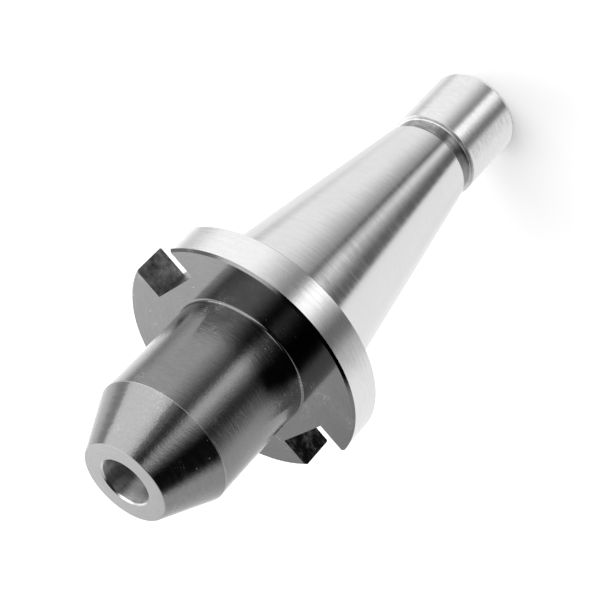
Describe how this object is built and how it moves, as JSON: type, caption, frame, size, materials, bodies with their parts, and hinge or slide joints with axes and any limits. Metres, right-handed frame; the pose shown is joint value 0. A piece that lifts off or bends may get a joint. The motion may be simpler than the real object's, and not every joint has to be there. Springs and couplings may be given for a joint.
{
  "type": "end mill holder",
  "caption": "Steep taper end mill holder: ground taper shank with pilot, slotted drive flange, black nose with a straight tool bore and a side set screw.",
  "frame": {"origin": "on the axis at the taper's gauge line, where the taper is 44.45 mm across", "axes": "+Z along the axis from the pilot end to the nose, X through the two drive slots, +Y towards the set screw; the part stands on its pilot end"},
  "size_m": [0.0614, 0.0636, 0.1472],
  "materials": {
    "ground_and_blackened_steel": "ground bright on the taper, pilot, flange rim and bore, glossy black oxide on the nose, faces, neck and slots",
    "blackened_screw": "black oxide"
  },
  "bodies": {
    "body": {"body": "ground_and_blackened_steel"},
    "set_screw": {"set_screw": "blackened_screw"}
  },
  "joints": [
    {"name": "set_screw_travel", "type": "slide", "parent": "body", "child": "set_screw", "axis": [0, -1, 0], "range_m": [-0.0012, 0.0019]}
  ]
}
